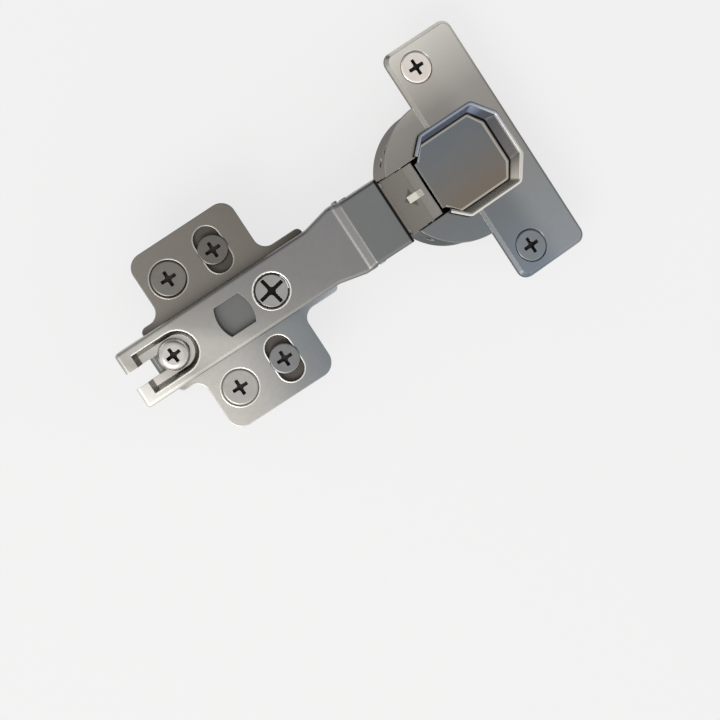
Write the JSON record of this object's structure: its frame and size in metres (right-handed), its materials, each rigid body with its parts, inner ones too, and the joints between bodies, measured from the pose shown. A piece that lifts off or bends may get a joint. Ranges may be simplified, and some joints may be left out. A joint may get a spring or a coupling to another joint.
{
  "type": "concealed cabinet hinge",
  "caption": "Soft-close concealed cabinet hinge with cup, links, adjustable arm and cross mounting plate, shown open.",
  "frame": {"origin": "centre of the mounting plate's screw pattern, on the face that meets the cabinet side", "axes": "+X along the arm towards the cup, +Y along the plate's wings, +Z away from the cabinet side"},
  "size_m": [0.113, 0.0648, 0.0261],
  "materials": {
    "pressed_steel": "satin nickel plate",
    "cast_zinc": "satin nickel plate on a casting",
    "screw_steel": "satin nickel plate",
    "pin_steel": "ground",
    "spring_steel": "drawn wire",
    "damper_plastic": "moulded",
    "seal_rubber": "matt"
  },
  "bodies": {
    "mounting": {"mounting_plate": "pressed_steel", "panel_screw_rear_left": "screw_steel", "panel_screw_rear_right": "screw_steel", "panel_screw_front_left": "screw_steel", "panel_screw_front_right": "screw_steel"},
    "depth_screw": {"depth_screw": "screw_steel"},
    "side_adjuster": {"side_adjusting_screw": "screw_steel"},
    "arm": {"hinge_arm": "pressed_steel", "outer_link_arm_pin": "pin_steel", "inner_link_arm_pin": "pin_steel", "closing_spring_left": "spring_steel", "closing_spring_right": "spring_steel"},
    "outer_link": {"outer_link": "pressed_steel"},
    "cup": {"hinge_cup": "cast_zinc", "outer_link_cup_pin_left": "pin_steel", "outer_link_cup_pin_right": "pin_steel", "inner_link_cup_pin": "pin_steel", "flap_pin": "pin_steel", "damper_housing": "damper_plastic", "damper_cap": "damper_plastic", "cup_screw_left": "screw_steel", "cup_screw_right": "screw_steel"},
    "inner_link": {"inner_link": "pressed_steel"},
    "flap": {"damper_flap": "pressed_steel"},
    "piston": {"damper_piston": "damper_plastic", "piston_seal": "seal_rubber"}
  },
  "joints": [
    {"name": "depth_slide", "type": "slide", "parent": "mounting", "child": "side_adjuster", "axis": [1, 0, 0], "range_m": [-0.001, 0.003]},
    {"name": "overlay_tilt", "type": "hinge", "parent": "side_adjuster", "child": "arm", "pos_m": [-0.0152, 0, 0.007], "axis": [0, -1, 0], "range_deg": [-1.2, 2.4]},
    {"name": "depth_screw_turn", "type": "hinge", "parent": "mounting", "child": "depth_screw", "pos_m": [-0.0152, 0, 0.0045], "axis": [0, 0, 1], "continuous": true},
    {"name": "outer_link_pivot", "type": "hinge", "parent": "arm", "child": "outer_link", "pos_m": [0.0398, 0, 0.0068], "axis": [0, -1, 0], "range_deg": [-31.1, 0]},
    {"name": "cup_pivot", "type": "hinge", "parent": "outer_link", "child": "cup", "pos_m": [0.05547, 0, 0.0021], "axis": [0, -1, 0], "range_deg": [0, 141]},
    {"name": "inner_link_pivot", "type": "hinge", "parent": "cup", "child": "inner_link", "pos_m": [0.05258, 0, 0.00059], "axis": [0, -1, 0], "range_deg": [-138.1, 0]},
    {"name": "flap_pivot", "type": "hinge", "parent": "cup", "child": "flap", "pos_m": [0.07744, 0, -0.00537], "axis": [0, -1, 0], "range_deg": [0, 24.1]},
    {"name": "piston_slide", "type": "slide", "parent": "cup", "child": "piston", "axis": [-0.342, 0, -0.9397], "range_m": [0, 0.00276]}
  ],
  "couplings": [
    {"joint": "outer_link_pivot", "follows": "cup_pivot", "ratio": -0.21986},
    {"joint": "inner_link_pivot", "follows": "cup_pivot", "ratio": -0.97872},
    {"joint": "flap_pivot", "follows": "cup_pivot", "ratio": 0.17021},
    {"joint": "piston_slide", "follows": "cup_pivot", "m_per_rad": 0.0011175}
  ]
}
